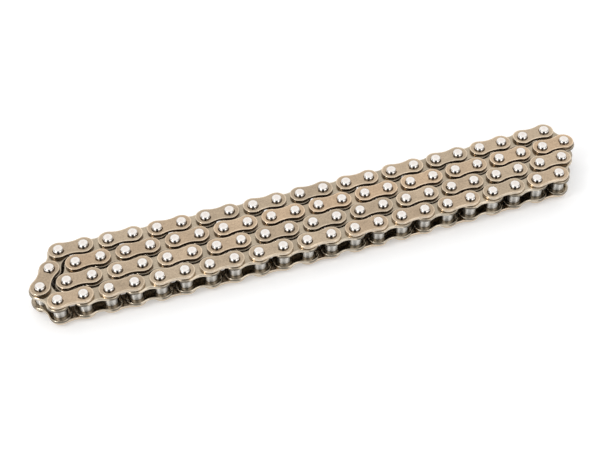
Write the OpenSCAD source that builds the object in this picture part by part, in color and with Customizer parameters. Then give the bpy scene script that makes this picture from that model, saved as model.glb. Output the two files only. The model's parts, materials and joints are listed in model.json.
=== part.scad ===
// Endless bush chain of quarter-inch pitch, lying on its side and folded into
// four nested strands. Every pin stands upright. The chain runs along strand 1
// at the back, round the right turn into strand 2, round the inner left turn
// into strand 3, round the other right turn into strand 4 at the front, and
// back to strand 1 over the three links of the left end.
// Outer links (two outer plates pressed on two pins) and inner links (two inner
// plates pressed on two bushes) take turns all the way round.
// +X runs along the strands, +Y to the back strand and +Z up along the pins.
// The origin is the middle of the rectangle that the chain covers, on the
// surface that the lower pin ends stand on.

/* [Chain] */
// Distance between neighbouring pin axes
pitch = 6.35; // [5.6:0.05:8]
// Inner links in the left third of a strand, which has one outer link more
third_pairs = 3; // [1:1:6]
// Clear width between the inner plates, where the sprocket teeth go
inner_width = 3.18; // [2.4:0.02:5]

/* [Plates] */
// Thickness of an outer plate
outer_t = 0.8; // [0.5:0.05:1.5]
// Thickness of an inner plate
inner_t = 0.8; // [0.5:0.05:1.5]
// Clear gap between the rounded ends of neighbouring outer links
outer_end_gap = 1.15; // [0.6:0.05:1.8]
// Clear gap between the rounded ends of neighbouring inner links
inner_end_gap = 0.45; // [0.3:0.05:0.8]
// Depth of the hollow in each long side of an outer plate
outer_waist = 0.55; // [0.3:0.05:0.9]
// Depth of the hollow in each long side of an inner plate
inner_waist = 0.78; // [0.65:0.05:1.1]
// Gap between an outer plate and the inner plate beside it
side_play = 0.06; // [0.02:0.01:0.2]

/* [Pins and bushes] */
// Diameter of a pin
pin_d = 2.31; // [1.8:0.01:2.8]
// How far a pin stands out of the outer plates at each end
pin_rise = 0.85; // [0.4:0.05:1.5]
// Radius of the rounded shoulder at each riveted pin end
pin_round = 0.5; // [0.2:0.05:0.6]
// How much riveting adds to the radius of the pin ends, clear of the plates
rivet_spread = 0.09; // [0:0.01:0.15]
// Radial running clearance of a pin in its bush
pin_clearance = 0.03; // [0.01:0.005:0.08]
// Wall thickness of a bush
bush_wall = 0.465; // [0.3:0.005:0.6]

/* [Fold] */
// Gap between the lobes of inner plates in neighbouring strands
strand_gap = 0.15; // [0.1:0.05:0.5]
// Angle from each link of a strand to the next, which bows the strand a little
link_bow = 0.18; // [0:0.02:0.3]

/* [Hidden] */
$fn = 64;

// Plate and bush radii
outer_lobe_r = (pitch - outer_end_gap) / 2;
inner_lobe_r = (pitch - inner_end_gap) / 2;
pin_r = pin_d / 2;
bush_bore_r = pin_r + pin_clearance;
bush_r = bush_bore_r + bush_wall;
// How far a waist arc runs into the lobes, which leaves no tangent edge
waist_bite = 0.02;

// Heights of the layers, from the lower pin ends up
lower_outer_z = pin_rise;
lower_inner_z = lower_outer_z + outer_t + side_play;
tooth_z = lower_inner_z + inner_t;
upper_inner_z = tooth_z + inner_width;
upper_outer_z = upper_inner_z + inner_t + side_play;
pin_l = upper_outer_z + outer_t + pin_rise;
bush_l = inner_width + 2 * inner_t;

// Counts of links
third_links = 2 * third_pairs + 1;
strand_links = 3 * third_links;
middle_link = (strand_links - 1) / 2;
thirds = ["left", "middle", "right"];
strands = [1, 2, 3, 4];

// Every strand bows alike, with its middle link along X and to the front of its ends
function heading(index) = link_bow * (index - middle_link);
strand_path = [
    for (
        index = 0, pin = [0, 0];
        index <= strand_links;
        pin = pin + pitch * [cos(heading(index)), sin(heading(index))], index = index + 1
    )
        pin
];

// The turn links lean away from the square direction until the inner plates of
// neighbouring strands are strand_gap apart, lobe to lobe, where the bow brings
// them closest
turn_lean = 90 - heading(strand_links - 1) - 2 * asin((2 * inner_lobe_r + strand_gap) / (2 * pitch));
strand_step = pitch * cos(turn_lean);
turn_shift = pitch * sin(turn_lean);

// Places of the pins. Strand 2 starts one turn_shift to the right of strand 1,
// and each strand after it one turn_shift further to the left
strand_x = [0, turn_shift, 0, -turn_shift];
middle_x = (strand_path[strand_links][0] - turn_shift) / 2;
middle_y = (strand_path[middle_link][1] - 3 * strand_step) / 2;
function place(x, y) = [x - middle_x, y - middle_y];
function strand_pin(strand, index) =
    place(strand_x[strand - 1] + strand_path[index][0], strand_path[index][1] - (strand - 1) * strand_step);
function left_pin(strand) = strand_pin(strand, 0);
function right_pin(strand) = strand_pin(strand, strand_links);
end_back_pin = place(-turn_shift, -strand_step);
end_front_pin = place(-2 * turn_shift, -2 * strand_step);

// A link is [first pin place, second pin place, true for an outer link]
function strand_link(strand, index) =
    [strand_pin(strand, index), strand_pin(strand, index + 1), index % 2 == 0];
function third_of_strand(strand, third) =
    [for (index = [third * third_links : (third + 1) * third_links - 1]) strand_link(strand, index)];

// The rigid runs of links that turn against each other: [name, links]
RUNS = concat(
    [for (strand = strands) for (third = [0 : len(thirds) - 1])
        [str("strand", strand, "_", thirds[third]), third_of_strand(strand, third)]],
    [
        ["right_back_turn", [[right_pin(1), right_pin(2), false]]],
        ["right_front_turn", [[right_pin(3), right_pin(4), false]]],
        ["left_inner_turn", [[left_pin(2), left_pin(3), false]]],
        ["left_end_back", [[left_pin(1), end_back_pin, false]]],
        ["left_end", [[end_back_pin, end_front_pin, true]]],
        ["left_end_front", [[end_front_pin, left_pin(4), false]]]
    ]
);
function links_of(run, outer) = [for (link = run[1]) if (link[2] == outer) link];
OUTER_PIECES = ["outer_plates", "pins"];
INNER_PIECES = ["inner_plates", "bushes"];

// Figure-eight outline of a plate, centred between its pins along X
module plate_outline(lobe_r, waist) {
    half = pitch / 2;
    waist_half = lobe_r - waist;
    blend_r = lobe_r - waist_bite;
    waist_r = (half ^ 2 + waist_half ^ 2 - blend_r ^ 2) / (2 * (blend_r - waist_half));
    web_half = (lobe_r - waist_bite / 2) * (waist_half + waist_r) / (blend_r + waist_r);
    for (side = [-1, 1])
        translate([side * half, 0]) circle(r = lobe_r);
    difference() {
        square([pitch, 2 * web_half], center = true);
        for (side = [-1, 1])
            translate([0, side * (waist_half + waist_r)]) circle(r = waist_r);
    }
}

// A plate with a hole at each pin
module plate(lobe_r, waist, hole_r, thickness) {
    linear_extrude(height = thickness)
        difference() {
            plate_outline(lobe_r, waist);
            for (side = [-1, 1])
                translate([side * pitch / 2, 0]) circle(r = hole_r);
        }
}

// Puts what is centred between two pins along X on a link
module on_link(link) {
    span = link[1] - link[0];
    translate((link[0] + link[1]) / 2)
        rotate(atan2(span[1], span[0]))
            children();
}

// Puts what stands on a pin axis on both pins of a link
module on_pins(link) {
    for (index = [0, 1])
        translate(link[index])
            children();
}

// The two outer plates of an outer link
module outer_plates(links) {
    color([0.66, 0.58, 0.48])
        for (link = links)
            on_link(link)
                for (z = [lower_outer_z, upper_outer_z])
                    translate([0, 0, z]) plate(outer_lobe_r, outer_waist, pin_r, outer_t);
}

// The two inner plates of an inner link
module inner_plates(links) {
    color([0.60, 0.55, 0.48])
        for (link = links)
            on_link(link)
                for (z = [lower_inner_z, upper_inner_z])
                    translate([0, 0, z]) plate(inner_lobe_r, inner_waist, bush_r, inner_t);
}

// Outline of the riveted lower end of a pin and, upside down, of its upper end:
// a rounded shoulder, then a taper to the neck just clear of the plate
head_r = pin_r + rivet_spread;
shoulder = min(pin_round, 0.6 * pin_rise, 0.8 * pin_r);
neck_z = shoulder + 0.7 * (pin_rise - shoulder);
pin_foot = concat(
    [for (turn = [0 : 30 : 90]) [head_r - shoulder * (1 - sin(turn)), shoulder * (1 - cos(turn))]],
    [[pin_r, neck_z]]
);
pin_head = [for (index = [len(pin_foot) - 1 : -1 : 0]) [pin_foot[index][0], pin_l - pin_foot[index][1]]];

// The two pins of an outer link, riveted at both ends
module pins(links) {
    color([0.93, 0.92, 0.90])
        for (link = links)
            on_pins(link)
                rotate_extrude()
                    polygon(concat([[0, 0]], pin_foot, pin_head, [[0, pin_l]]));
}

// The two bushes of an inner link, flush with the outsides of its plates
module bushes(links) {
    color([0.75, 0.75, 0.76])
        for (link = links)
            on_pins(link)
                translate([0, 0, lower_inner_z])
                    difference() {
                        cylinder(r = bush_r, h = bush_l);
                        translate([0, 0, -bush_l]) cylinder(r = bush_bore_r, h = 3 * bush_l);
                    }
}

for (run = RUNS) {
    outer_plates(links_of(run, true));
    pins(links_of(run, true));
    inner_plates(links_of(run, false));
    bushes(links_of(run, false));
}
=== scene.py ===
"""Dress the folded chain: rounded plates, riveted pins and polished bushes on the fixed frame."""

import json
import logging
import math
import random
from dataclasses import dataclass
from enum import Enum
from typing import Iterator

import bmesh
import bpy
from mathutils import Matrix, Vector


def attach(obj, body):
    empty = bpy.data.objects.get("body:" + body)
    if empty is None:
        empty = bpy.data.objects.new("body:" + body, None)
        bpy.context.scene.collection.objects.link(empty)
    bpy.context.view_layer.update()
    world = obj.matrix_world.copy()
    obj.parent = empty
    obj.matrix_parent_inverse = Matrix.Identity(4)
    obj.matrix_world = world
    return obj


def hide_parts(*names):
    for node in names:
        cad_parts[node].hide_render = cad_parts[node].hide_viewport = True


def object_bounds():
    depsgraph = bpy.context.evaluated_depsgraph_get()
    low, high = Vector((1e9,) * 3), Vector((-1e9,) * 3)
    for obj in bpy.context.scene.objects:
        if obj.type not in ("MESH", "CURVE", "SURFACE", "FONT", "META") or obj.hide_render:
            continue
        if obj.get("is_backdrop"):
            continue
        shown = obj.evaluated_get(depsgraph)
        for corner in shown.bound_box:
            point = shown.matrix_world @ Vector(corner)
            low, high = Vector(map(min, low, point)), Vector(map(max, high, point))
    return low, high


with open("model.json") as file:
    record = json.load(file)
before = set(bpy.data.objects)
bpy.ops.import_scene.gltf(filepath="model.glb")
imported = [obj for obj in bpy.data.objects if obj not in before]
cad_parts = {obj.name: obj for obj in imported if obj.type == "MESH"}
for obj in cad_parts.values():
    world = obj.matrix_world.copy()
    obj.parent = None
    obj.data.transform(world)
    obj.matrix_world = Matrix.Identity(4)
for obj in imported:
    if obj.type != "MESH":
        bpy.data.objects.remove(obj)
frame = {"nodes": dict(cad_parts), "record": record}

log = logging.getLogger("chain")

Colour = tuple[float, float, float]
Socket = bpy.types.NodeSocket
Sockets = bpy.types.bpy_prop_collection
Input = Socket | float | tuple[float, ...] | Vector
Inputs = dict[str | int, Input]

MM = 0.001
WELD = 0.001 * MM
UP = Vector((0.0, 0.0, 1.0))
IMAGE_WIDTH = 600
RIM = "rim"
TONE = "tone"
WARMTH = "warmth"
LOCAL = "local"
OPEN = "open"
HALF_PITCH = 6.35 / 2 * MM
PIN_LENGTH = 8.2 * MM
PIN_RADIUS = 2.31 / 2 * MM
BUSH_RADIUS = 1.65 * MM
OUTER_LOBE_RADIUS = 2.6 * MM
SHARP_ANGLE = math.radians(50)
# How unevenly the rims brighten, partly as abrasion and partly as painted highlight.
SHEEN_AND_WEAR_SWING = 0.5
# Widths over which the painted shade round each hole and at the ends under a covering plate fades, and the
# normal's range over which faces count as walls.
RING_WIDTH_MM = 0.5
COVER_FADE_MM = 0.12
LOBE_FADE_MM = (-0.9, -0.1)
WALL_FADE = (0.6, 0.15)
NO_COVER = 99.0
WARM_STRAND = "strand2"
WARMTH_SPAN = 0.5
# A body takes the first name that its own starts with, so the longer of two comes first.
OPEN_SIDES = {
    "strand1": 1.0,
    "strand4": -1.0,
    "left_end_front": -1.0,
    "left_end": 1.0,
    "right_back": 1.0,
    "right_front": -1.0,
}
OPEN_BAND_MM = 0.6


class PieceKind(Enum):
    """The four kinds of piece, with the ending of their node names and their finish slot."""

    OUTER_PLATES = ("outer_plates", "outer_plate")
    PINS = ("pins", "pin")
    INNER_PLATES = ("inner_plates", "inner_plate")
    BUSHES = ("bushes", "bush")

    @property
    def ending(self) -> str:
        """Return the last words of the node's name."""
        return self.value[0]

    @property
    def slot(self) -> str:
        """Return the record's material slot."""
        return self.value[1]

    @property
    def holder(self) -> "PieceKind":
        """Return the kind of piece that a plate is pressed on."""
        return PieceKind.PINS if self is PieceKind.OUTER_PLATES else PieceKind.BUSHES

    @property
    def is_plate(self) -> bool:
        """Return whether pieces of this kind are side plates."""
        return self in (PieceKind.OUTER_PLATES, PieceKind.INNER_PLATES)


@dataclass(frozen=True)
class Place:
    """Where one solid of a node stands: the middle of its foot, its heading and its height."""

    foot: Vector
    height: float
    heading: float = 0.0

    def matrix(self) -> Matrix:
        """Return the matrix that stands a shape made at the origin on this place."""
        return Matrix.Translation(self.foot) @ Matrix.Rotation(self.heading, 4, "Z")


def islands(bm: bmesh.types.BMesh) -> Iterator[list[bmesh.types.BMVert]]:
    """Walk over the loose solids of a mesh.

    Args:
        bm: A mesh whose doubles are merged.

    Returns:
        An iterator over the vertices of each solid.
    """
    seen: set[int] = set()
    bm.verts.index_update()
    for first in bm.verts:
        if first.index in seen:
            continue
        seen.add(first.index)
        island = [first]
        for vert in island:
            for edge in vert.link_edges:
                other = edge.other_vert(vert)
                if other.index not in seen:
                    seen.add(other.index)
                    island.append(other)
        yield island


def places_in(node: str) -> list[Place]:
    """Read where the solids of a frame node stand.

    Args:
        node: The node's name.

    Returns:
        One upright place per solid, in order along X.
    """
    bm = bmesh.new()
    bm.from_mesh(frame["nodes"][node].data)
    bmesh.ops.remove_doubles(bm, verts=bm.verts[:], dist=WELD)
    places = []
    for island in islands(bm):
        low = Vector([min(vert.co[axis] for vert in island) for axis in range(3)])
        high = Vector([max(vert.co[axis] for vert in island) for axis in range(3)])
        foot = Vector(((low.x + high.x) / 2, (low.y + high.y) / 2, low.z))
        places.append(Place(foot, high.z - low.z))
    bm.free()
    return sorted(places, key=lambda place: tuple(round(part, 6) for part in place.foot))


def plate_places(plates: list[Place], holders: list[Place]) -> list[Place]:
    """Turn plates so that each reaches from one of its two holders to the other.

    Args:
        plates: The upright places of the plates.
        holders: The places of the pins or bushes that they are pressed on.

    Returns:
        The places of the plates with their headings.
    """
    turned = []
    for plate in plates:
        nearest = sorted(holders, key=lambda holder: (holder.foot.xy - plate.foot.xy).length)[:2]
        ends = sorted(nearest, key=lambda holder: holder.foot.x)
        span = ends[1].foot.xy - ends[0].foot.xy
        middle = (ends[0].foot.xy + ends[1].foot.xy) / 2
        foot = Vector((middle.x, middle.y, plate.foot.z))
        turned.append(Place(foot, plate.height, math.atan2(span.y, span.x)))
    return turned


def finish_mesh(bm: bmesh.types.BMesh, name: str) -> bpy.types.Mesh:
    """Weld a shape, point its faces outwards and store it as a smooth mesh.

    Args:
        bm: The shape, which is freed.
        name: The name of the new mesh.

    Returns:
        The new mesh, which keeps its own coordinates in millimetres as an attribute.
    """
    bmesh.ops.remove_doubles(bm, verts=bm.verts[:], dist=WELD)
    bmesh.ops.recalc_face_normals(bm, faces=bm.faces[:])
    for face in bm.faces:
        face.smooth = True
    local = bm.verts.layers.float_vector.new(LOCAL)
    for vert in bm.verts:
        vert[local] = vert.co / MM
    mesh = bpy.data.meshes.new(name)
    bm.to_mesh(mesh)
    bm.free()
    return mesh


@dataclass(frozen=True)
class PlateShape:
    """A figure-eight side plate with rounded rims, centred between its two holes."""

    lobe_radius: float
    waist_half: float
    hole_radius: float
    rim_round: float = 0.12 * MM
    # The rims carry a mask of bright steel, partly from abrasion and partly painted highlight, that fades
    # out across a band inside them.
    worn_band: float = 0.3 * MM
    face_wear: float = 0.55
    shoulder_wear: float = 0.6
    hole_chamfer: float = 0.05 * MM
    rim_steps: int = 3
    lobe_steps: int = 18
    waist_steps: int = 6
    hole_steps: int = 24

    def outline(
        self, bm: bmesh.types.BMesh, inset: float, z: float, wear: float
    ) -> list[bmesh.types.BMEdge]:
        """Draw the outline, moved inwards, as four arcs that run into each other.

        Args:
            bm: The mesh to draw in.
            inset: How far inside the true outline it lies.
            z: The height of the outline.
            wear: The mask of its vertices for abrasion and painted highlight.

        Returns:
            The closed ring of edges.
        """
        half = HALF_PITCH
        rise = self.lobe_radius - self.waist_half
        waist_radius = (half**2 + self.waist_half**2 - self.lobe_radius**2) / (2 * rise)
        waist_y = self.waist_half + waist_radius
        waist_sweep = 2 * math.atan2(half, waist_y)
        lobe_sweep = -(math.pi + waist_sweep)
        start = Matrix.Rotation(-waist_sweep / 2, 3, "Z") @ Vector((0, -(waist_radius + inset), 0))
        first = bm.verts.new(start + Vector((0, waist_y, z)))
        ring = [first]
        arcs = (
            ((0, waist_y, z), waist_sweep, self.waist_steps, 0),
            ((half, 0, z), lobe_sweep, self.lobe_steps, 0),
            ((0, -waist_y, z), waist_sweep, self.waist_steps, 0),
            ((-half, 0, z), lobe_sweep, self.lobe_steps, 1),
        )
        for centre, sweep, steps, kept_open in arcs:
            for _ in range(steps - kept_open):
                step = bmesh.ops.spin(
                    bm, geom=[ring[-1]], cent=centre, axis=UP, angle=sweep / steps, steps=1
                )
                ring.append(step["geom_last"][0])
        edges = [bm.edges.get(pair) for pair in zip(ring, ring[1:])]
        edges.append(bm.edges.new((ring[-1], first)))
        layer = bm.verts.layers.float[RIM]
        for vert in ring:
            vert[layer] = wear
        return edges

    def hole(self, bm: bmesh.types.BMesh, side: int, radius: float, z: float) -> list[bmesh.types.BMEdge]:
        """Draw the ring of one hole.

        Args:
            bm: The mesh to draw in.
            side: -1 for the left hole and 1 for the right one.
            radius: The radius of the ring.
            z: The height of the ring.

        Returns:
            The closed ring of edges.
        """
        at = Matrix.Translation((side * HALF_PITCH, 0, z))
        made = bmesh.ops.create_circle(bm, segments=self.hole_steps, radius=radius, matrix=at)
        return list(dict.fromkeys(edge for vert in made["verts"] for edge in vert.link_edges))

    def rim_levels(self, thickness: float) -> list[tuple[float, float, float]]:
        """Work out the rings of the rim.

        Args:
            thickness: The thickness of the plate.

        Returns:
            The inset, height and mask of abrasion and painted highlight of each ring, from the lower face to
            the upper one.
        """
        levels = [(self.rim_round + self.worn_band, 0.0, 0.0)]
        for step in range(self.rim_steps + 1):
            turn = math.pi / 2 * step / self.rim_steps
            inset = self.rim_round * (1 - math.sin(turn))
            z = self.rim_round * (1 - math.cos(turn))
            # The mask of abrasion and painted highlight is strongest part way round the rounding and nothing
            # on the wall.
            wear = self.face_wear * math.cos(turn) + self.shoulder_wear * math.sin(2 * turn)
            levels.append((inset, z, wear))
        return levels + [(inset, thickness - z, wear) for inset, z, wear in reversed(levels)]

    @staticmethod
    def move_up(bm: bmesh.types.BMesh, ring: list[bmesh.types.BMEdge], lift: float) -> None:
        """Move a ring up, because a bridge between two rings in one plane can twist."""
        verts = list({vert for edge in ring for vert in edge.verts})
        bmesh.ops.translate(bm, verts=verts, vec=(0, 0, lift))

    def build(self, thickness: float, name: str) -> bpy.types.Mesh:
        """Make one plate.

        Args:
            thickness: The thickness of the plate.
            name: The name of the new mesh.

        Returns:
            The mesh, standing on the origin with its length along X.
        """
        bm = bmesh.new()
        bm.verts.layers.float.new(RIM)
        rings = [self.outline(bm, *level) for level in self.rim_levels(thickness)]
        face_rings = ((rings[0], -thickness), (rings[-1], thickness))
        for ring, lift in face_rings:
            self.move_up(bm, ring, lift)
        for lower, upper in zip(rings, rings[1:]):
            bmesh.ops.bridge_loops(bm, edges=lower + upper)
        for ring, lift in face_rings:
            self.move_up(bm, ring, -lift)
        wide = self.hole_radius + self.hole_chamfer
        faces = {0.0: rings[0], thickness: rings[-1]}
        for side in (-1, 1):
            hole = [
                self.hole(bm, side, wide, 0.0),
                self.hole(bm, side, self.hole_radius, self.hole_chamfer),
                self.hole(bm, side, self.hole_radius, thickness - self.hole_chamfer),
                self.hole(bm, side, wide, thickness),
            ]
            for lower, upper in zip(hole, hole[1:]):
                bmesh.ops.bridge_loops(bm, edges=lower + upper)
            faces[0.0] = faces[0.0] + hole[0]
            faces[thickness] = faces[thickness] + hole[-1]
        # The fill is too coarse for sizes in metres, so it works in millimetres.
        bmesh.ops.scale(bm, verts=bm.verts[:], vec=Vector((1, 1, 1)) / MM)
        for edges in faces.values():
            bmesh.ops.triangle_fill(bm, use_beauty=True, edges=edges, normal=UP)
        bmesh.ops.scale(bm, verts=bm.verts[:], vec=Vector((1, 1, 1)) * MM)
        return finish_mesh(bm, name)


def lathe(
    profile: list[tuple[float, float]], steps: int, name: str, closed: bool = False
) -> bpy.types.Mesh:
    """Spin a profile round the Z axis.

    Args:
        profile: The radius and height of each point.
        steps: How many steps the full turn has.
        name: The name of the new mesh.
        closed: Whether the last point joins the first.

    Returns:
        The mesh, with each vertex's share of the largest radius in its rim layer.
    """
    bm = bmesh.new()
    layer = bm.verts.layers.float.new(RIM)
    largest = max(radius for radius, _ in profile)
    points = []
    for radius, z in profile:
        vert = bm.verts.new((radius, 0, z))
        vert[layer] = radius / largest
        points.append(vert)
    following = points[1:] + points[:1] if closed else points[1:]
    edges = [bm.edges.new(pair) for pair in zip(points, following)]
    bmesh.ops.spin(
        bm, geom=points + edges, cent=(0, 0, 0), axis=UP, angle=math.tau, steps=steps, use_merge=True
    )
    return finish_mesh(bm, name)


@dataclass(frozen=True)
class PinShape:
    """A pin with riveted ends: a low dome with a shallow ring, a round shoulder and an overhang."""

    radius: float = PIN_RADIUS
    face_radius: float = 0.99 * MM
    face_drop: float = 0.17 * MM
    face_steps: int = 4
    ring_radius: float = 0.495 * MM
    ring_depth: float = 0.025 * MM
    corner: float = 0.42 * MM
    corner_steps: int = 5
    edge_lean: float = 64.0
    head_radius: float = 1.34 * MM
    overhang: float = 0.05 * MM
    steps: int = 32

    def end(self) -> list[tuple[float, float]]:
        """Work out the profile of one end.

        Returns:
            The radius of each point and how far it lies below the tip, from the tip to the neck.
        """
        points = []
        for step in range(self.face_steps):
            radius = self.face_radius * step / self.face_steps
            ring = self.ring_depth if math.isclose(radius, self.ring_radius) else 0.0
            points.append((radius, self.face_drop * (radius / self.face_radius) ** 2 + ring))
        first = math.atan(2 * self.face_drop / self.face_radius)
        last = math.radians(self.edge_lean)
        for step in range(self.corner_steps + 1):
            turn = first + (last - first) * step / self.corner_steps
            out = self.face_radius + self.corner * (math.sin(turn) - math.sin(first))
            points.append((out, self.face_drop + self.corner * (math.cos(first) - math.cos(turn))))
        drop = points[-1][1] + (self.head_radius - points[-1][0]) * math.tan(last)
        points.append((self.head_radius, drop))
        points.append((self.radius, drop + self.overhang))
        return points

    def build(self, length: float, name: str) -> bpy.types.Mesh:
        """Make one pin of the given length, standing on the origin."""
        end = self.end()
        return lathe(end + [(radius, length - drop) for radius, drop in reversed(end)], self.steps, name)


@dataclass(frozen=True)
class BushShape:
    """A bush that ends flush with the outsides of its inner plates."""

    radius: float = BUSH_RADIUS
    bore_radius: float = 1.185 * MM
    edge: float = 0.06 * MM
    steps: int = 40

    def build(self, length: float, name: str) -> bpy.types.Mesh:
        """Make one bush of the given length, standing on the origin."""
        profile = [
            (self.bore_radius, 0.0),
            (self.radius - self.edge, 0.0),
            (self.radius, self.edge),
            (self.radius, length - self.edge),
            (self.radius - self.edge, length),
            (self.bore_radius, length),
        ]
        return lathe(profile, self.steps, name, closed=True)


class NodeSheet:
    """A node tree with short ways to add nodes and wire them."""

    def __init__(self, tree: bpy.types.NodeTree) -> None:
        """Start on an emptied tree."""
        self.tree = tree
        self.tree.nodes.clear()

    def add(self, kind: str, values: Inputs | None = None, **settings: object) -> bpy.types.Node:
        """Add a node.

        Args:
            kind: The node's type name.
            values: Socket values, by socket name or index. A socket there is wired instead.
            settings: Properties of the node.

        Returns:
            The new node.
        """
        node = self.tree.nodes.new(kind)
        for name, value in settings.items():
            setattr(node, name, value)
        for socket, value in (values or {}).items():
            if isinstance(value, Socket):
                self.tree.links.new(value, node.inputs[socket])
            else:
                node.inputs[socket].default_value = value
        return node

    def math(self, operation: str, first: Input, second: Input = 0.0) -> Socket:
        """Add a sum, product or other operation on one or two values and return its result."""
        return self.add("ShaderNodeMath", {0: first, 1: second}, operation=operation).outputs[0]

    def ramp(self, value: Input, start: Input, end: Input) -> Socket:
        """Add a smooth step from 0 at the start to 1 at the end and return its result."""
        values = {"Value": value, "From Min": start, "From Max": end}
        return self.add("ShaderNodeMapRange", values, interpolation_type="SMOOTHSTEP").outputs["Result"]

    def spread(self, value: Input, low: float, high: float) -> Socket:
        """Add a map of 0 to 1 onto another range and return its result."""
        values = {"Value": value, "To Min": low, "To Max": high}
        return self.add("ShaderNodeMapRange", values).outputs["Result"]

    def around(self, value: Input, middle: float, swing: float) -> Socket:
        """Add a map of 0 to 1 onto a range on both sides of a middle and return its result."""
        return self.spread(value, middle - swing, middle + swing)

    def mix(self, factor: Input, first: Input, second: Input) -> Socket:
        """Add a mix of two colours and return its result."""
        return self.add("ShaderNodeMix", {0: factor, 6: first, 7: second}, data_type="RGBA").outputs[2]

    def blend(self, factor: Input, first: Input, second: Input) -> Socket:
        """Add a mix of two values and return its result."""
        return self.add("ShaderNodeMix", {0: factor, 2: first, 3: second}, data_type="FLOAT").outputs[0]

    def attribute(self, name: str) -> Socket:
        """Add a reader of a mesh attribute and return its value."""
        return self.add("ShaderNodeAttribute", attribute_name=name).outputs["Fac"]

    def parts(self, vector: Socket) -> Sockets:
        """Split a vector and return its X, Y and Z."""
        return self.add("ShaderNodeSeparateXYZ", {0: vector}).outputs

    def local(self) -> Sockets:
        """Add a reader of the place on the shape and return its X, Y and Z in millimetres."""
        return self.parts(self.add("ShaderNodeAttribute", attribute_name=LOCAL).outputs["Vector"])

    def group(self, group: bpy.types.NodeTree, values: Inputs) -> Sockets:
        """Place a node group with its own values and return its outputs."""
        return self.add("ShaderNodeGroup", values, node_tree=group).outputs

    def bump(self, height: Socket, strength: float, depth: float) -> Socket:
        """Add a bump and return its normal."""
        values = {"Height": height, "Strength": strength, "Distance": depth}
        return self.add("ShaderNodeBump", values).outputs["Normal"]

    def surface(self, values: Inputs) -> None:
        """Add a principled shader with its own values and wire it to the output."""
        shader = self.add("ShaderNodeBsdfPrincipled", values)
        self.add("ShaderNodeOutputMaterial", {"Surface": shader.outputs[0]})


def new_material(name: str) -> tuple[bpy.types.Material, NodeSheet]:
    """Make a material and return it with the sheet of its nodes."""
    material = bpy.data.materials.new(name)
    material.use_nodes = True
    return material, NodeSheet(material.node_tree)


def new_group(name: str, inputs: dict[str, str], outputs: dict[str, str]) -> NodeSheet:
    """Start a shader node group.

    Args:
        name: The group's name.
        inputs: The socket type of each input, by name.
        outputs: The socket type of each output, by name.

    Returns:
        The sheet of the empty group.
    """
    tree = bpy.data.node_groups.new(name, "ShaderNodeTree")
    for in_out, sockets in (("INPUT", inputs), ("OUTPUT", outputs)):
        for socket, kind in sockets.items():
            tree.interface.new_socket(socket, in_out=in_out, socket_type=kind)
    return NodeSheet(tree)


def grain_group() -> bpy.types.NodeTree:
    """Make the group that gives steel its clouds and its fine speckle.

    Returns:
        The group.
    """
    sheet = new_group(
        "Steel grain",
        {"Vector": "NodeSocketVector", "Cloud Scale": "NodeSocketFloat", "Speckle Scale": "NodeSocketFloat"},
        {"Clouds": "NodeSocketFloat", "Speckle": "NodeSocketFloat"},
    )
    given = sheet.add("NodeGroupInput").outputs
    clouds = sheet.add(
        "ShaderNodeTexNoise",
        {"Vector": given["Vector"], "Scale": given["Cloud Scale"], "Detail": 3.0, "Roughness": 0.55},
    )
    speckle = sheet.add(
        "ShaderNodeTexNoise",
        {"Vector": given["Vector"], "Scale": given["Speckle Scale"], "Detail": 2.0, "Roughness": 0.7},
    )
    sheet.add("NodeGroupOutput", {"Clouds": clouds.outputs["Fac"], "Speckle": speckle.outputs["Fac"]})
    return sheet.tree


def wear_group() -> bpy.types.NodeTree:
    """Make the group that brightens rims unevenly, partly as abrasion and partly as painted highlight.

    Returns:
        The group.
    """
    sheet = new_group(
        "Rim abrasion and sheen",
        {"Rim": "NodeSocketFloat", "Breakup": "NodeSocketFloat", "Amount": "NodeSocketFloat"},
        {"Wear": "NodeSocketFloat"},
    )
    given = sheet.add("NodeGroupInput").outputs
    broken = sheet.math("MULTIPLY", given["Rim"], sheet.around(given["Breakup"], 1.0, SHEEN_AND_WEAR_SWING))
    amount = sheet.math("MULTIPLY", broken, given["Amount"])
    wear = sheet.add("ShaderNodeClamp", {"Value": amount})
    sheet.add("NodeGroupOutput", {"Wear": wear.outputs[0]})
    return sheet.tree


def zones_group() -> bpy.types.NodeTree:
    """Make the group that finds a plate's walls, the rings round its holes and its covered ends.

    Returns:
        The group, which takes the radii of the hole and of the covering plate in millimetres.
    """
    sheet = new_group(
        "Plate zones",
        {"Hole": "NodeSocketFloat", "Cover": "NodeSocketFloat"},
        {"Ring": "NodeSocketFloat", "Crescent": "NodeSocketFloat", "Wall": "NodeSocketFloat"},
    )
    given = sheet.add("NodeGroupInput").outputs
    local = sheet.local()
    along = sheet.math("SUBTRACT", sheet.math("ABSOLUTE", local["X"]), HALF_PITCH / MM)
    flat = sheet.add("ShaderNodeCombineXYZ", {"X": along, "Y": local["Y"]}).outputs[0]
    reach = sheet.add("ShaderNodeVectorMath", {0: flat}, operation="LENGTH").outputs["Value"]
    ring = sheet.ramp(reach, sheet.math("ADD", given["Hole"], RING_WIDTH_MM), given["Hole"])
    beyond = sheet.ramp(reach, sheet.math("SUBTRACT", given["Cover"], COVER_FADE_MM), given["Cover"])
    crescent = sheet.math("MULTIPLY", beyond, sheet.ramp(along, *LOBE_FADE_MM))
    normal = sheet.parts(sheet.add("ShaderNodeNewGeometry").outputs["Normal"])
    wall = sheet.ramp(sheet.math("ABSOLUTE", normal["Z"]), *WALL_FADE)
    sheet.add("NodeGroupOutput", {"Ring": ring, "Crescent": crescent, "Wall": wall})
    return sheet.tree


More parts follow.
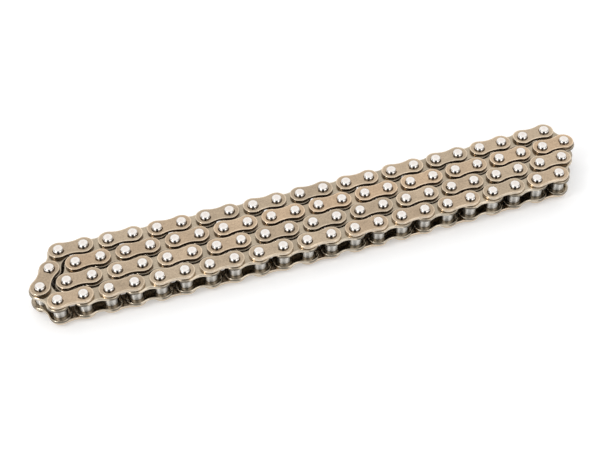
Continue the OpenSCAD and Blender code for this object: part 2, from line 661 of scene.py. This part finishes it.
@dataclass(frozen=True)
class PlateFinish:
    """Satin steel with a khaki heat tint, fine speckle and bright rims, partly from abrasion and partly
    painted highlight.

    Walls that face away from the other strands get a painted reflection of the white table.
    Painted shade darkens the ends under a covering plate, the rings round the holes, and the walls
    and rims that face other strands.

    A swing is how far a value goes to either side of its middle.
    """

    name: str
    cool: Colour
    warm: Colour
    hole: float
    cover: float = NO_COVER
    # Colour of bright steel: on rims partly from abrasion and partly painted highlight, on open walls a
    # painted reflection of the white table.
    worn: Colour = (0.88, 0.80, 0.68)
    # Colour of the painted shade.
    grime: Colour = (0.062, 0.052, 0.04)
    # How strongly the rims brighten and how much lighter they get, partly as abrasion and partly as painted
    # highlight.
    wear: float = 0.88
    rub: float = 1.85
    tone_swing: float = 0.1
    cloud_swing: float = 0.2
    speckle_swing: float = 0.3
    # How far walls that face away from the other strands take a painted reflection of the white table.
    bare_wall: float = 0.4
    # How far the rims take the bright steel, partly from abrasion and partly painted highlight.
    bare_rim: float = 0.35
    # Strength of the painted shade: overall, round the holes, on walls and rims that face other strands, and
    # what is left of it on bright rims.
    dirt: float = 0.8
    ring_dirt: float = 0.15
    wall_dirt: float = 0.9
    rim_dirt: float = 0.0
    dirt_on_worn: float = 0.2
    roughness: float = 0.2
    roughness_swing: float = 0.06
    wall_roughness: float = 0.1
    cloud_scale: float = 420.0
    speckle_scale: float = 2000.0
    bump: float = 0.2
    bump_depth: float = 0.03 * MM

    def metal(self, sheet: NodeSheet, steel: Sockets, worn: Socket, wall: Socket) -> Socket:
        """Mix the clean metal: the heat tint, its grain, bright steel on rims, partly from abrasion and
        partly painted highlight, and a painted reflection of the white table on walls that face away
        from the other strands.

        Args:
            sheet: The material's sheet.
            steel: The outputs of the grain.
            worn: The mask of abrasion and painted highlight on the rims.
            wall: The mask of the walls.

        Returns:
            The colour.
        """
        tint = sheet.mix(sheet.attribute(WARMTH), (*self.cool, 1), (*self.warm, 1))
        tone = sheet.around(sheet.attribute(TONE), 1.0, self.tone_swing)
        clouds = sheet.around(steel["Clouds"], 1.0, self.cloud_swing)
        speckle = sheet.around(steel["Speckle"], 1.0, self.speckle_swing)
        lightness = sheet.math("MULTIPLY", tone, sheet.math("MULTIPLY", clouds, speckle))
        # Rims are lightened, partly as abrasion and partly as painted highlight.
        rubbed_and_sheened = sheet.math("MULTIPLY", lightness, sheet.spread(worn, 1.0, self.rub))
        toned = sheet.add("ShaderNodeHueSaturation", {"Color": tint, "Value": rubbed_and_sheened}).outputs["Color"]
        # Walls that face away from the other strands get a painted reflection of the white table; rims get
        # bright steel, partly from abrasion and partly painted highlight.
        open_wall = sheet.math("MULTIPLY", wall, sheet.spread(sheet.attribute(OPEN), 0.0, self.bare_wall))
        wear_and_painted_light = sheet.math("MAXIMUM", open_wall, sheet.math("MULTIPLY", worn, self.bare_rim))
        return sheet.mix(wear_and_painted_light, toned, (*self.worn, 1))

    def dirt_mask(self, sheet: NodeSheet, zone: Sockets, worn: Socket) -> Socket:
        """Mask the painted shade at the ends under a covering plate, round the holes, and on walls and rims
        that face other strands.

        Args:
            sheet: The material's sheet.
            zone: The outputs of the plate zones.
            worn: The mask of abrasion and painted highlight on the rims, where the painted shade is weaker.

        Returns:
            The mask.
        """
        outside = sheet.attribute(OPEN)
        covered = sheet.math("MULTIPLY", zone["Crescent"], sheet.spread(worn, 1.0, self.dirt_on_worn))
        corners = sheet.math("MAXIMUM", covered, sheet.math("MULTIPLY", zone["Ring"], self.ring_dirt))
        walls = sheet.math("MULTIPLY", zone["Wall"], sheet.spread(outside, self.wall_dirt, 0.0))
        rims = sheet.math("MULTIPLY", sheet.attribute(RIM), sheet.spread(outside, self.rim_dirt, 0.0))
        deepest_shade = sheet.math("MAXIMUM", corners, sheet.math("MAXIMUM", walls, rims))
        return sheet.math("MULTIPLY", deepest_shade, self.dirt)

    def material(
        self, grain: bpy.types.NodeTree, wear: bpy.types.NodeTree, zones: bpy.types.NodeTree
    ) -> bpy.types.Material:
        """Make the material.

        Args:
            grain: The group of steel grain.
            wear: The group of rim abrasion and painted highlight.
            zones: The group of plate zones.

        Returns:
            The new material.
        """
        material, sheet = new_material(self.name)
        where = sheet.add("ShaderNodeTexCoord").outputs["Object"]
        scales = {"Cloud Scale": self.cloud_scale, "Speckle Scale": self.speckle_scale}
        steel = sheet.group(grain, {"Vector": where, **scales})
        rim = {"Rim": sheet.attribute(RIM), "Breakup": steel["Clouds"], "Amount": self.wear}
        worn = sheet.group(wear, rim)["Wear"]
        zone = sheet.group(zones, {"Hole": self.hole / MM, "Cover": self.cover / MM})
        clean = self.metal(sheet, steel, worn, zone["Wall"])
        satin = sheet.around(steel["Clouds"], self.roughness, self.roughness_swing)
        edge = sheet.math("MAXIMUM", worn, zone["Wall"])
        sheet.surface(
            {
                # Painted shade darkens the base colour at the ends under a covering plate, round the holes,
                # and on walls and rims that face other strands.
                "Base Color": sheet.mix(self.dirt_mask(sheet, zone, worn), clean, (*self.grime, 1)),
                "Metallic": 1.0,
                "Roughness": sheet.blend(edge, satin, self.wall_roughness),
                "Normal": sheet.bump(steel["Speckle"], self.bump, self.bump_depth),
            }
        )
        return material


@dataclass(frozen=True)
class TurnedFinish:
    """Bright turned steel with a faint stain near its axis.

    It gets painted shade either on the side that faces other strands, or at the foot of its two ends, where
    they meet the plates.
    """

    name: str
    colour: Colour
    stain: Colour
    roughness: float
    stretch: float = 0.0
    # Strength of the painted shade on the side that faces other strands.
    oil: float = 0.0
    # Strength of the painted shade at the foot of the ends, where they meet the plates, and its range of
    # drops from the tips.
    dirt: float = 0.0
    foot: tuple[float, float] = (0.0, 0.0)
    # Colour of the painted shade.
    grime: Colour = (0.1, 0.075, 0.055)
    bright_band: tuple[float, float] = (0.2, 0.55)
    bright_share: tuple[float, float] = (0.2, 0.9)
    roughness_swing: float = 0.05
    cloud_scale: float = 700.0
    line_scale: float = 9000.0
    line_squeeze: float = 0.08
    bump: float = 0.1
    bump_depth: float = 0.02 * MM
    tangent_lean: float = 0.01

    def dirt_mask(self, sheet: NodeSheet) -> Socket:
        """Mask the painted shade: on the side that faces other strands, or else at the foot of the two ends.

        Args:
            sheet: The material's sheet.

        Returns:
            The mask.
        """
        if self.oil:
            # Painted shade on the side that faces other strands.
            closed = sheet.spread(sheet.attribute(OPEN), 1.0, 0.0)
            return sheet.math("MULTIPLY", closed, self.oil)
        # Painted shade at the foot of each end, where it meets the plate.
        half = PIN_LENGTH / 2 / MM
        from_middle = sheet.math("ABSOLUTE", sheet.math("SUBTRACT", sheet.local()["Z"], half))
        foot = sheet.ramp(from_middle, *(half - drop for drop in self.foot))
        return sheet.math("MULTIPLY", foot, self.dirt)

    def material(self, grain: bpy.types.NodeTree) -> bpy.types.Material:
        """Make the material.

        Args:
            grain: The group of steel grain.

        Returns:
            The new material.
        """
        material, sheet = new_material(self.name)
        where = sheet.add("ShaderNodeTexCoord").outputs["Object"]
        clouds = sheet.group(grain, {"Vector": where, "Cloud Scale": self.cloud_scale})["Clouds"]
        squeeze = (self.line_squeeze, self.line_squeeze, 1.0)
        squeezed = sheet.add("ShaderNodeMapping", {"Vector": where, "Scale": squeeze}).outputs[0]
        lines = sheet.group(grain, {"Vector": squeezed, "Speckle Scale": self.line_scale})["Speckle"]
        band = sheet.ramp(sheet.attribute(RIM), *self.bright_band)
        bright = sheet.math("MULTIPLY", band, sheet.spread(clouds, *self.bright_share))
        clean = sheet.mix(bright, (*self.stain, 1), (*self.colour, 1))
        # The tangent socket takes a direction only from a node, and not one along the normal.
        upwards = sheet.add("ShaderNodeCombineXYZ", {"X": self.tangent_lean, "Z": 1.0}).outputs[0]
        sheet.surface(
            {
                # Painted shade darkens the base colour on the side that faces other strands, or at the foot
                # of the ends.
                "Base Color": sheet.mix(self.dirt_mask(sheet), clean, (*self.grime, 1)),
                "Metallic": 1.0,
                "Roughness": sheet.around(clouds, self.roughness, self.roughness_swing),
                "Normal": sheet.bump(lines, self.bump, self.bump_depth),
                "Anisotropic": self.stretch,
                "Tangent": upwards,
            }
        )
        return material


@dataclass(frozen=True)
class Chain:
    """The shapes and finishes that every run of links shares."""

    outer: PlateShape
    inner: PlateShape
    pin: PinShape
    bush: BushShape
    outer_finish: PlateFinish
    inner_finish: PlateFinish
    pin_finish: TurnedFinish
    bush_finish: TurnedFinish

    def shapes(self) -> dict[PieceKind, PlateShape | PinShape | BushShape]:
        """Return the shape of each kind of piece."""
        return {
            PieceKind.OUTER_PLATES: self.outer,
            PieceKind.INNER_PLATES: self.inner,
            PieceKind.PINS: self.pin,
            PieceKind.BUSHES: self.bush,
        }

    def materials(self) -> dict[PieceKind, bpy.types.Material]:
        """Make the material of each kind of piece."""
        grain = grain_group()
        wear = wear_group()
        zones = zones_group()
        return {
            PieceKind.OUTER_PLATES: self.outer_finish.material(grain, wear, zones),
            PieceKind.INNER_PLATES: self.inner_finish.material(grain, wear, zones),
            PieceKind.PINS: self.pin_finish.material(grain),
            PieceKind.BUSHES: self.bush_finish.material(grain),
        }


@dataclass(frozen=True)
class LinkRun:
    """One rigid run of links, which is one body of the frame."""

    body: str
    nodes: list[str]

    @property
    def is_warm(self) -> bool:
        """Return whether the run's heat tint is on the copper side."""
        return self.body.startswith(WARM_STRAND)

    @property
    def open_side(self) -> float:
        """Return which side of its plates faces away from the other strands: 1, -1 or 0 for none."""
        sides = (side for start, side in OPEN_SIDES.items() if self.body.startswith(start))
        return next(sides, 0.0)

    def kinds(self) -> dict[PieceKind, str]:
        """Return the run's node for each kind of piece that it has."""
        names = {kind: f"{self.body}_{kind.ending}" for kind in PieceKind}
        return {kind: name for kind, name in names.items() if name in self.nodes}

    def places(self, kind: PieceKind) -> list[Place]:
        """Return where the run's pieces of one kind stand, plates with their headings."""
        nodes = self.kinds()
        places = places_in(nodes[kind])
        return plate_places(places, places_in(nodes[kind.holder])) if kind.is_plate else places

    def build(self, kind: PieceKind, template: bpy.types.Mesh) -> bpy.types.Object:
        """Make one piece that holds all the run's solids of a kind.

        Args:
            kind: The kind of piece.
            template: The mesh of one of them.

        Returns:
            The new object, which replaces the frame's node.
        """
        node = self.kinds()[kind]
        draw = random.Random(node)
        bm = bmesh.new()
        tone_layer, warmth_layer, open_layer = (
            bm.verts.layers.float.new(name) for name in (TONE, WARMTH, OPEN)
        )
        for place in self.places(kind):
            start = len(bm.verts)
            bm.from_mesh(template)
            bm.verts.ensure_lookup_table()
            added = bm.verts[start:]
            bmesh.ops.transform(bm, matrix=place.matrix(), verts=added)
            warmth = WARMTH_SPAN * (int(self.is_warm) + draw.random())
            tone = draw.random()
            local = bm.verts.layers.float_vector[LOCAL]
            for vert in added:
                facing = self.open_side * vert[local].y / OPEN_BAND_MM
                vert[tone_layer] = tone
                vert[warmth_layer] = warmth
                vert[open_layer] = min(max(facing, 0.0), 1.0)
        mesh = bpy.data.meshes.new(f"{node}_dressed")
        bm.to_mesh(mesh)
        bm.free()
        piece = bpy.data.objects.new(f"{node}_dressed", mesh)
        bpy.context.scene.collection.objects.link(piece)
        return piece

    def dress(self, piece: bpy.types.Object, kind: PieceKind, material: bpy.types.Material) -> None:
        """Give a piece its finish and tie it to its body.

        Args:
            piece: The new piece.
            kind: The kind of piece.
            material: Its material.
        """
        piece.data.materials.append(material)
        piece.data.set_sharp_from_angle(angle=SHARP_ANGLE)
        smooth = piece.modifiers.new("even_normals", "WEIGHTED_NORMAL")
        smooth.keep_sharp = True
        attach(piece, self.body)
        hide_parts(self.kinds()[kind])
        kind.slot


@dataclass(frozen=True)
class Softbox:
    """A rectangular soft light that faces the chain."""

    name: str
    azimuth: float
    elevation: float
    radiance: float
    distance: float = 0.6
    width: float = 0.34
    height: float = 0.36

    def build(self) -> None:
        """Make the light and aim it at the origin."""
        data = bpy.data.lights.new(self.name, "AREA")
        data.shape = "RECTANGLE"
        data.size = self.width
        data.size_y = self.height
        data.energy = self.radiance * math.pi * self.width * self.height
        light = bpy.data.objects.new(self.name, data)
        back = view_direction(self.azimuth, self.elevation)
        light.location = back * self.distance
        light.rotation_euler = back.to_track_quat("Z", "Y").to_euler()
        light.visible_camera = False
        bpy.context.scene.collection.objects.link(light)


def view_direction(azimuth: float, elevation: float) -> Vector:
    """Return the unit vector towards a viewer; azimuth 0 is in front, on the -Y side."""
    turn, tilt = math.radians(azimuth), math.radians(elevation)
    return Vector((math.sin(turn) * math.cos(tilt), -math.cos(turn) * math.cos(tilt), math.sin(tilt)))


@dataclass(frozen=True)
class PhotoCamera:
    """The camera at the photograph's place, with its focal length in image widths."""

    azimuth: float = -16.5814
    elevation: float = 46.2976
    roll: float = -1.9497
    distance: float = 338.3009 * MM
    target: tuple[float, float, float] = (-5.1514 * MM, -3.8082 * MM, 8.05 * MM)
    focal_widths: float = 1334.907 / IMAGE_WIDTH
    sensor: float = 36.0
    clip: tuple[float, float] = (0.01, 20.0)

    def build(self) -> None:
        """Make the camera and use it for the scene."""
        data = bpy.data.cameras.new("photo_camera")
        data.sensor_width = self.sensor
        data.lens = self.focal_widths * self.sensor
        data.clip_start, data.clip_end = self.clip
        camera = bpy.data.objects.new("photo_camera", data)
        back = view_direction(self.azimuth, self.elevation)
        across = math.radians(self.azimuth)
        right = Vector((math.cos(across), math.sin(across), 0.0))
        turn = Matrix((right, back.cross(right), back)).transposed().to_4x4()
        spin = Matrix.Rotation(math.radians(self.roll), 4, "Z")
        place = Matrix.Translation(Vector(self.target) + back * self.distance)
        camera.matrix_world = place @ turn @ spin
        bpy.context.scene.collection.objects.link(camera)
        bpy.context.scene.camera = camera


@dataclass(frozen=True)
class Studio:
    """A white table in a dim room, with a large bright ceiling behind the chain.

    Patches of the room have a direction, as azimuth and elevation, and an edge, as the angles from
    that direction where they begin and end to fade.
    """

    softboxes: tuple[Softbox, ...]
    ceiling: tuple[float, float] = (163.4, 58.0)
    ceiling_edge: tuple[float, float] = (44.0, 66.0)
    ceiling_level: float = 1.05
    camera_side: tuple[float, float] = (-16.6, 14.0)
    camera_side_edge: tuple[float, float] = (19.0, 27.0)
    camera_side_level: float = 0.03
    room_level: float = 0.42
    table_size: float = 4.0
    table_white: float = 0.85
    table_roughness: float = 0.9
    table_glow: float = 0.32

    def table_material(self) -> bpy.types.Material:
        """Make the white of the table, which glows only to the camera and in mirrors.

        Returns:
            The new material.
        """
        material, sheet = new_material("white_table")
        ray = sheet.add("ShaderNodeLightPath").outputs
        mirrored = sheet.math("MAXIMUM", ray["Is Glossy Ray"], ray["Is Transmission Ray"])
        seen = sheet.math("MAXIMUM", ray["Is Camera Ray"], mirrored)
        sheet.surface(
            {
                "Base Color": (self.table_white, self.table_white, self.table_white, 1),
                "Roughness": self.table_roughness,
                "Specular IOR Level": 0.0,
                "Emission Color": (1, 1, 1, 1),
                "Emission Strength": sheet.math("MULTIPLY", seen, self.table_glow),
            }
        )
        material.cycles.emission_sampling = "NONE"
        return material

    def build_table(self) -> None:
        """Make the white table under the chain."""
        bm = bmesh.new()
        bmesh.ops.create_grid(bm, x_segments=1, y_segments=1, size=self.table_size / 2)
        bmesh.ops.translate(bm, verts=bm.verts[:], vec=(0, 0, -WELD))
        mesh = bpy.data.meshes.new("table")
        bm.to_mesh(mesh)
        bm.free()
        mesh.materials.append(self.table_material())
        table = bpy.data.objects.new("table", mesh)
        bpy.context.scene.collection.objects.link(table)
        table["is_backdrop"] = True

    @staticmethod
    def patch(
        sheet: NodeSheet, ray: Socket, middle: tuple[float, float], edge: tuple[float, float]
    ) -> Socket:
        """Mask a round patch of the room.

        Args:
            sheet: The room's sheet.
            ray: The direction that is looked in.
            middle: The azimuth and elevation of the patch.
            edge: The angles from its middle where it begins and ends to fade.

        Returns:
            The mask, which is 1 in the patch.
        """
        values = {0: ray, 1: view_direction(*middle)}
        towards = sheet.add("ShaderNodeVectorMath", values, operation="DOT_PRODUCT").outputs["Value"]
        inner, outer = (math.cos(math.radians(angle)) for angle in edge)
        return sheet.ramp(towards, outer, inner)

    def build_room(self) -> None:
        """Make the world: a dim room, bright behind the chain and dark behind the camera."""
        world = bpy.data.worlds.new("room")
        world.use_nodes = True
        bpy.context.scene.world = world
        sheet = NodeSheet(world.node_tree)
        ray = sheet.add("ShaderNodeTexCoord").outputs["Generated"]
        ceiling = self.patch(sheet, ray, self.ceiling, self.ceiling_edge)
        lit = sheet.spread(ceiling, self.room_level, self.ceiling_level)
        dark = self.patch(sheet, ray, self.camera_side, self.camera_side_edge)
        level = sheet.blend(dark, lit, self.camera_side_level)
        light = sheet.add("ShaderNodeBackground", {"Color": (1, 1, 1, 1), "Strength": level})
        sheet.add("ShaderNodeOutputWorld", {"Surface": light.outputs[0]})

    def build(self) -> None:
        """Make the table, the room and the lights."""
        self.build_table()
        self.build_room()
        for softbox in self.softboxes:
            softbox.build()


CHAIN = Chain(
    outer=PlateShape(lobe_radius=OUTER_LOBE_RADIUS, waist_half=2.05 * MM, hole_radius=PIN_RADIUS),
    inner=PlateShape(
        lobe_radius=2.95 * MM, waist_half=2.17 * MM, hole_radius=BUSH_RADIUS, rim_round=0.22 * MM
    ),
    pin=PinShape(),
    bush=BushShape(),
    outer_finish=PlateFinish(
        "outer_plate_steel", cool=(0.46, 0.367, 0.265), warm=(0.545, 0.394, 0.262), hole=PIN_RADIUS
    ),
    inner_finish=PlateFinish(
        "inner_plate_steel",
        cool=(0.421, 0.355, 0.267),
        warm=(0.456, 0.366, 0.265),
        hole=BUSH_RADIUS,
        cover=OUTER_LOBE_RADIUS,
        # Painted shade on the inner plates' rims that face other strands.
        rim_dirt=0.8,
    ),
    pin_finish=TurnedFinish(
        # Painted shade at the foot of the pins' ends.
        "pin_steel", (0.9, 0.88, 0.84), (0.82, 0.75, 0.7), roughness=0.12, dirt=0.6, foot=(0.6, 0.68)
    ),
    bush_finish=TurnedFinish(
        # Painted shade on the bushes' side that faces other strands.
        "bush_steel", (0.9, 0.88, 0.84), (0.74, 0.71, 0.66), roughness=0.45, stretch=1.0, oil=0.6
    ),
)
STUDIO = Studio(
    softboxes=(
        Softbox("left_softbox", azimuth=-60, elevation=18, radiance=1.25),
        Softbox("edge_lamp", azimuth=-80, elevation=50, radiance=10.0, width=0.13, height=0.13),
        Softbox("right_softbox", azimuth=27, elevation=18, radiance=1.15),
    )
)


def write_sizes(boxes: list[tuple[Vector, Vector]]) -> None:
    """List the corners of the boxes of the frame and of the dressed chain, without keeping them.

    Args:
        boxes: The lowest and highest corner of each.
    """
    [[list(corner) for corner in box] for box in boxes]


def main() -> None:
    """Build the chain, run by run, and then the studio round it."""
    logging.basicConfig(level=logging.INFO, format="%(message)s")
    bare_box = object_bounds()
    shapes = CHAIN.shapes()
    materials = CHAIN.materials()
    templates: dict[PieceKind, bpy.types.Mesh] = {}
    for body, nodes in frame["record"]["behaviour"]["bodies"].items():
        run = LinkRun(body, nodes)
        for kind in run.kinds():
            if kind not in templates:
                height = run.places(kind)[0].height
                templates[kind] = shapes[kind].build(height, f"one_of_{kind.ending}")
            piece = run.build(kind, templates[kind])
            run.dress(piece, kind, materials[kind])
            log.info("%s: %d faces", piece.name, len(piece.data.polygons))
    PhotoCamera().build()
    STUDIO.build()
    bpy.context.scene.view_settings.view_transform = "Standard"
    write_sizes([bare_box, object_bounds()])


if __name__ == "__main__":
    main()
